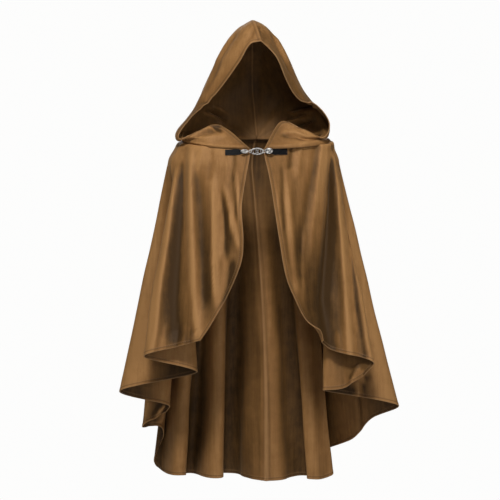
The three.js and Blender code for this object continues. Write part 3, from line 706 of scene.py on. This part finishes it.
# ------------------------------------------------------------------ hood
def hood_half(name, side, front_rows, seed):
    ts = np.concatenate([np.linspace(0, 0.2, 61), np.linspace(0.2, 1, 120)[1:]])
    ss = np.linspace(0.0, 1, 190)
    P = hood_grid(side, ts, ss)
    T = np.repeat(ts[:, None], len(ss), 1)
    S = np.repeat(ss[None, :], len(ts), 0)
    P5 = np.concatenate([P, T[..., None], S[..., None]], -1)
    dense = P5[:61]
    s = along(dense[..., :3], 0)
    rows = []
    for j in range(P5.shape[1]):
        end = s[-1, j]
        d = np.concatenate([HEM_D * min(1, end / 24), np.linspace(min(21.5, end * 0.9), end, 20)])
        rows.append(np.stack([np.interp(d, s[:, j], dense[:, j, k]) for k in range(5)], -1))
    P5 = np.concatenate([np.stack(rows, 1), P5[61:]])
    P, T, S = P5[..., :3], P5[..., 3], P5[..., 4]
    centre = np.array([HOOD_MIDDLE_X, -10, 120.0])
    N = grid_normals(P)
    if np.einsum("ijk,ijk->", P - centre, N) < 0:
        N = -N
    mask = smooth((0.93 - T) / 0.12) * smooth(along(P[:, ::-1], 1)[:, ::-1] / 20) * (0.25 + 0.75 * smooth(along(P, 0) / 24))
    Q = P[..., [0, 2]]
    D = np.zeros(P.shape[:2])
    for _, depth, width, ends, line in front_rows:
        D += depth * crease(Q, line, width, ends) * mask
    top = along(P[:, ::-1], 1)[:, ::-1]
    E = 2.6 * lattice(seed, 6, 7, T, S) + 1.3 * lattice(seed + 1, 13, 15, T, S)
    E *= smooth(top / 30) * smooth(S / 0.1) * smooth((1 - T) / 0.1)
    P = P + N * np.where(N[..., 1:2] > 0, -1.0, 1.0) * D[..., None] + N * E[..., None]
    N = grid_normals(P)
    if np.einsum("ijk,ijk->", P - centre, N) < 0:
        N = -N
    return dict(name=name, P=P, N=N, T=T, key=T[:, -1], last=(0, -1))


def hood_finish(g):
    name, P, N = g["name"], g["P"], g["N"]
    top = along(P[:, ::-1], 1)[:, ::-1]
    rim = along(P, 0)
    base = along(P, 1)
    free = smooth(base / 12)
    # the lowest cloth rolls over the neck seam, and the centre seam stands in a little
    roll = 3.4 * np.exp(-(((base - 9) / 5.5) ** 2)) * smooth((0.97 - g["T"]) / 0.1) * smooth(rim / 10)
    P = P + N * (roll - 1.3 * np.exp(-((top / 2.2) ** 2)) * free)[..., None]
    P[..., 2] -= 1.2 * (1 - smooth(base / 4))
    N[-1, :, 0] = 0
    N[-1] /= np.linalg.norm(N[-1], axis=-1, keepdims=True)
    thick = hem_profile(rim)
    thick[:, -1] *= g["mitre"]
    # painted highlight on the rim edge, the hem's inner fold and the hood's centre seam
    edge = np.exp(-((rim / 1.7) ** 2)) + 0.3 * np.exp(-(((rim - HEM_WIDE - 0.8) / 1.2) ** 2)) + 0.5 * np.exp(-((top / 1.8) ** 2)) * free
    # painted shade along the stitch groove, at the neck seam and beside the hood's centre seam
    groove = 0.8 * np.exp(-(((rim - 7.6) / 1.5) ** 2)) + 0.8 * np.exp(-((base / 2.5) ** 2)) + 0.5 * np.exp(-(((top - 5.5) / 2.2) ** 2)) * free
    # painted light and shade from the fold form: lighter on crests, darker in valleys
    painted_fold_shading = 0.6 * crest_of(P, N, 8) + 0.6 * crest_of(P, N, 18)
    ob = shell(name, P, N, thick, CLOTH_MAT, {"edge": np.clip(edge, 0, 1), "groove": np.clip(groove, 0, 1), "painted_fold_shading": painted_fold_shading})
    at = int(np.argmin(np.abs(HEM_D - 7.8)))
    return ob, P, N, [(P[at, 4:-4], N[at, 4:-4], thick[at, 4:-4])]


# ------------------------------------------------------------------ stitches
STITCH = dict(pitch=5.0, long=3.3, wide=0.34, lift=0.05)


def stitches(name, lines, spec=STITCH, material=None, faces_of=(1, -1)):
    """Short threads along each line, on both faces of the cloth."""
    verts, faces = [], []
    ring = 6
    prof = [(-0.5, 0.0), (-0.34, 0.85), (0.0, 1.0), (0.34, 0.85), (0.5, 0.0)]
    angles = np.arange(ring) * 2 * math.pi / ring
    for P, N, thick in lines:
        s = np.concatenate([[0], np.cumsum(np.linalg.norm(np.diff(P, axis=0), axis=1))])
        for c in np.arange(3.0, s[-1] - 3.0, spec["pitch"]):
            at = lambda arr, q: np.array([np.interp(q, s, arr[:, k]) for k in range(3)])
            p = at(P, c)
            n = at(N, c)
            n /= np.linalg.norm(n)
            t = at(P, c + 1) - at(P, c - 1)
            t /= max(np.linalg.norm(t), 1e-6)
            b = np.cross(t, n)
            h = np.interp(c, s, thick) / 2 + spec["lift"]
            for sgn in faces_of:
                base = len(verts)
                o = p + n * sgn * h
                verts.append(o + t * prof[0][0] * spec["long"])
                for q, r in prof[1:-1]:
                    for a in angles:
                        verts.append(o + t * q * spec["long"] + (b * math.cos(a) + n * math.sin(a)) * r * spec["wide"])
                verts.append(o + t * prof[-1][0] * spec["long"])
                end = len(verts) - 1
                for k in range(ring):
                    k2 = (k + 1) % ring
                    faces.append((base, base + 1 + k2, base + 1 + k))
                    faces.append((end, base + 1 + 2 * ring + k, base + 1 + 2 * ring + k2))
                    for m in range(2):
                        i, j = base + 1 + m * ring + k, base + 1 + m * ring + k2
                        faces.append((i, j, j + ring))
                        faces.append((i, j + ring, i + ring))
    return mesh_object(name, verts, faces, material or THREAD_MAT)


form_l = body_panel("cloak_body_left", 0, CENTRE_BACK, 2.15, FRONT_L, 11)
form_r = body_panel("cloak_body_right", LAST, CENTRE_BACK, 2.15, FRONT_R, 31)
shared_normals(form_l, form_r)
body_l, front_l, _, lines_l = body_finish(form_l)
body_r, front_r, _, lines_r = body_finish(form_r)
half_l = hood_half("cloak_hood_left", -1, HOOD_L, 51)
half_r = hood_half("cloak_hood_right", 1, HOOD_R, 71)
shared_normals(half_l, half_r)
hood_l, _, _, lines_hl = hood_finish(half_l)
hood_r, _, _, lines_hr = hood_finish(half_r)
stitch_l = stitches("stitches_left", lines_l)
stitch_r = stitches("stitches_right", lines_r)
stitch_h = stitches("stitches_hood", lines_hl + lines_hr)
for piece, node in ((body_l, "body_left"), (body_r, "body_right"), (hood_l, "hood_left"), (hood_r, "hood_right")):
    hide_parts(node)
    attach(piece, "root")
for piece in (stitch_l, stitch_r, stitch_h):
    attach(piece, "root")

# ------------------------------------------------------------------ clasp
# outer end x, inner end x, z at both, half height
TABS = {"left": (-82, -34, -30.2, -29.2, 7.3), "right": (77, 30, -27.6, -28.6, 8.1)}
TAB_THICK, TAB_GAP = 2.2, 0.35
RING = dict(x=-0.6, y=-151.2, z=-29.1, long=32.6, high=16.4)
# x, z, length and height of each end's leaf
ENDS = {"left": (-32.2, -28.9, 17.4, 9.4), "right": (29.2, -27.6, 17.6, 14.0)}


def leather_tab(name, front):
    """A strap that follows the front it is sewn to, with a pointed inner end and bevelled edges."""
    x0, x1, z0, z1, half = TABS[name]
    near = front.reshape(-1, 3)
    keep = (np.abs(near[:, 0] - (x0 + x1) / 2) < 34) & (np.abs(near[:, 2] + 29) < 14) & (near[:, 1] < -100)
    near = near[keep]
    def terms(x, z):
        return np.stack([np.ones_like(x), x, z, x * x, x * z], -1)
    fit, *_ = np.linalg.lstsq(terms(near[:, 0], near[:, 2]), near[:, 1], rcond=None)
    out = np.max(terms(near[:, 0], near[:, 2]) @ fit - near[:, 1])
    u = np.linspace(0, 1, 90)[:, None]
    w = np.sin(np.linspace(-1, 1, 31) * math.pi / 2)[None, :]
    square = np.clip(u / 0.045, 0, 1)
    tall = half * np.where(u < 0.045, 0.80 + 0.20 * np.sqrt(1 - (1 - square) ** 2), 1) * (1 - 0.52 * smooth((u - 0.70) / 0.30))
    X = x0 + (x1 - x0) * u + 0 * w
    Z = z0 + (z1 - z0) * u + w * tall
    Y = terms(X, Z) @ fit - min(out, 1.5) - CLOTH / 2 - TAB_GAP - TAB_THICK / 2
    P = np.stack([X, Y, Z], -1)
    N = grid_normals(P)
    N = N * np.where(N[..., 1:2] > 0, -1.0, 1.0)
    d = np.minimum(np.minimum(u, 1 - u) * abs(x1 - x0), (1 - np.abs(w)) * tall)
    thick = TAB_THICK * np.sqrt(np.clip(1 - (1 - np.clip(d / 0.9, 0, 1)) ** 2, 0.10, 1)) - 0.35 * np.exp(-(((d - 1.7) / 0.35) ** 2))
    ob = shell("leather_tab_" + name, P, N, thick, LEATHER_MAT, {"edge": np.exp(-((d / 0.6) ** 2)), "groove": 0 * d})
    lines = []
    for k in (3, -4):
        lines.append((P[6:-3, k], N[6:-3, k], thick[6:-3, k]))
    lines.append((P[3, 3:-3], N[3, 3:-3], thick[3, 3:-3]))
    sewn = stitches("stitches_tab_" + name, lines, dict(pitch=2.6, long=1.9, wide=0.22, lift=0.02), DARK_THREAD, (1,))
    return ob, sewn


def wire(paths):
    """Closed round wires: each path is (points, radius or radii)."""
    verts, faces = [], []
    sides = 14
    for pts, radius in paths:
        pts = np.asarray(pts, float)
        n = len(pts)
        radius = np.broadcast_to(radius, (n,))
        t = np.roll(pts, -1, 0) - np.roll(pts, 1, 0)
        t /= np.linalg.norm(t, axis=1, keepdims=True)
        across = np.cross(t, [0, 1, 0])
        across /= np.linalg.norm(across, axis=1, keepdims=True)
        over = np.cross(across, t)
        base = len(verts)
        for i in range(n):
            for k in range(sides):
                q = 2 * math.pi * k / sides
                verts.append(pts[i] + radius[i] * (across[i] * math.cos(q) + over[i] * math.sin(q)))
        for i in range(n):
            for k in range(sides):
                a, b = base + i * sides + k, base + i * sides + (k + 1) % sides
                c, d = base + (i + 1) % n * sides + (k + 1) % sides, base + (i + 1) % n * sides + k
                faces.append((a, b, c, d))
    return verts, faces


def leaf(x, z, long, high, side):
    """A small domed leaf with a raised rim and a plain twisted groove."""
    R, K = 26, 96
    verts, faces = [], []
    for face in (1, -1):
        base = len(verts)
        for i in range(R + 1):
            r = i / R
            for k in range(K):
                q = 2 * math.pi * k / K
                point = 1 + 0.10 * math.cos(2 * q)
                dome = math.sqrt(max(0, 1 - r * r))
                if face > 0:
                    carve = 0.34 * math.sin(2 * q * 1.0 + side * 7.0 * r) * math.sin(math.pi * r)
                    rim = 0.16 * math.exp(-(((r - 0.86) / 0.07) ** 2))
                    y = -2.4 * (dome * (0.80 + carve) + rim)
                else:
                    y = 2.0 * dome
                verts.append((x + long / 2 * r * point * math.cos(q), RING["y"] + y, z + high / 2 * r * math.sin(q)))
        for i in range(R):
            for k in range(K):
                a, b = base + i * K + k, base + i * K + (k + 1) % K
                c, d = b + K, a + K
                faces.append((a, b, c, d) if face > 0 else (a, d, c, b))
    return verts, faces


def combine(parts):
    verts, faces = [], []
    for v, f in parts:
        base = len(verts)
        verts += [tuple(p) for p in v]
        faces += [tuple(base + i for i in q) for q in f]
    return verts, faces


def middle_ring():
    q = np.arange(120) * 2 * math.pi / 120
    c, n = np.cos(q), np.sin(q)
    def almond(shrink, y):
        return np.stack([RING["x"] + (RING["long"] / 2 - shrink) * c, RING["y"] + y + 0 * q, RING["z"] + (RING["high"] / 2 - shrink) * n * np.abs(n) ** 0.12], -1)
    f = np.arange(160) * 2 * math.pi / 160 + 0.01
    eight = np.stack([RING["x"] + 9.2 * np.sin(f), RING["y"] - 0.4 + 1.8 * np.cos(f), RING["z"] + 6.2 * np.sin(2 * f)], -1)
    small = np.stack([RING["x"] + 3.6 * np.cos(f), RING["y"] - 1.5 + 0 * f, RING["z"] + 3.6 * np.sin(f)], -1)
    beads = 1.34 + 0.12 * np.cos(q * 24)
    return wire([(almond(0.2, 0.0), beads), (almond(2.3, -0.8), 0.42), (eight, 0.95), (small, 0.62)])


def clasp_end(name):
    x, z, long, high = ENDS[name]
    side = -1 if name == "left" else 1
    ex = RING["x"] + side * (RING["long"] / 2 + 0.6)
    f = np.arange(72) * 2 * math.pi / 72
    eye = np.stack([ex + 3.6 * np.cos(f), RING["y"] + 0 * f, RING["z"] + 3.6 * np.sin(f)], -1)
    inner, outer = ex + side * 3.0, x - side * long * 0.36
    neck_x = np.linspace(inner, outer, 12)
    neck_z = np.linspace(RING["z"], z, 12)
    neck_r = np.linspace(1.3, 2.1, 12)
    verts, faces = [], []
    for i in range(12):
        for k in range(16):
            q = 2 * math.pi * k / 16
            verts.append((neck_x[i], RING["y"] + neck_r[i] * math.cos(q), neck_z[i] + neck_r[i] * math.sin(q)))
    for i in range(11):
        for k in range(16):
            a, b = i * 16 + k, i * 16 + (k + 1) % 16
            faces.append((a, b, b + 16, a + 16))
    border = np.stack([x + long / 2 * (1 + 0.10 * np.cos(2 * f)) * np.cos(f), RING["y"] - 0.2 + 0 * f, z + high / 2 * np.sin(f)], -1)
    return combine([leaf(x, z, long, high, side), wire([(eye, 1.15), (border, 0.62)]), (verts, faces)])


for name, front in (("left", front_l), ("right", front_r)):
    strap, sewn = leather_tab(name, front[:60])
    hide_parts("tab_" + name)
    metal = mesh_object("clasp_end_" + name, *clasp_end(name), METAL_MAT)
    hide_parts("end_" + name)
    for piece, slot in ((strap, "leather"), (sewn, "leather"), (metal, "metal")):
        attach(piece, "root")
ring = mesh_object("clasp_ring", *middle_ring(), METAL_MAT)
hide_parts("ring_middle")
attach(ring, "root")

# ------------------------------------------------------------------ floor, light and camera
def stage_floor():
    me = bpy.data.meshes.new("floor")
    r, n = 2.2, 96
    me.from_pydata([(r * math.cos(2 * math.pi * k / n), r * math.sin(2 * math.pi * k / n), -1.42) for k in range(n)], [], [tuple(range(n))])
    ob = bpy.data.objects.new("floor", me)
    bpy.context.scene.collection.objects.link(ob)
    m = Nodes("pale_floor")
    m.set(Base_Color=m.ramp(m.noise(1.2, 2.0), [(0.0, (0.80, 0.80, 0.79)), (1.0, (0.84, 0.84, 0.83))]), Roughness=0.9)
    me.materials.append(m.mat)


def area_light(name, at, look, size, power, colour=(1, 1, 1), spread=180):
    data = bpy.data.lights.new(name, "AREA")
    data.shape = "DISK"
    data.size = size
    data.energy = power
    data.color = colour
    data.spread = math.radians(spread)
    ob = bpy.data.objects.new(name, data)
    ob.location = at
    ob.rotation_euler = (Vector(look) - Vector(at)).to_track_quat("-Z", "Y").to_euler()
    bpy.context.scene.collection.objects.link(ob)


stage_floor()
area_light("key", (-0.28, -2.95, 2.3), (0, 0, -0.45), 0.7, 97, (1, 0.985, 0.96))
area_light("fill", (1.5, -3.1, 0.1), (0, 0, -0.55), 1.2, 14)
area_light("low", (0.35, -2.7, -0.05), (0.02, -0.05, 0.08), 0.7, 0.46, (1, 0.97, 0.93), 40)
area_light("back", (-0.4, 2.8, 1.6), (0, 0, -0.2), 2.0, 32)

world = bpy.data.worlds.new("studio")
world.use_nodes = True
bpy.context.scene.world = world
wt = world.node_tree
bg = wt.nodes["Background"]
bg.inputs[0].default_value = (1, 1, 1, 1)
bg.inputs[1].default_value = 0.045
seen = wt.nodes.new("ShaderNodeBackground")
seen.inputs[0].default_value = (0.98, 0.98, 0.975, 1)
seen.inputs[1].default_value = 1.0
pick = wt.nodes.new("ShaderNodeMixShader")
ray = wt.nodes.new("ShaderNodeLightPath")
wt.links.new(ray.outputs["Is Camera Ray"], pick.inputs[0])
wt.links.new(bg.outputs[0], pick.inputs[1])
wt.links.new(seen.outputs[0], pick.inputs[2])
wt.links.new(pick.outputs[0], wt.nodes["World Output"].inputs[0])
bpy.context.scene.view_settings.view_transform = "Standard"

cam = bpy.data.cameras.new("camera")
cam.sensor_width = 36
cam.lens = 86.94
camera = bpy.data.objects.new("camera", cam)
camera.location = (-0.01855, -3.2, -0.278)
camera.rotation_euler = (math.pi / 2, 0, 0)
bpy.context.scene.collection.objects.link(camera)
bpy.context.scene.camera = camera
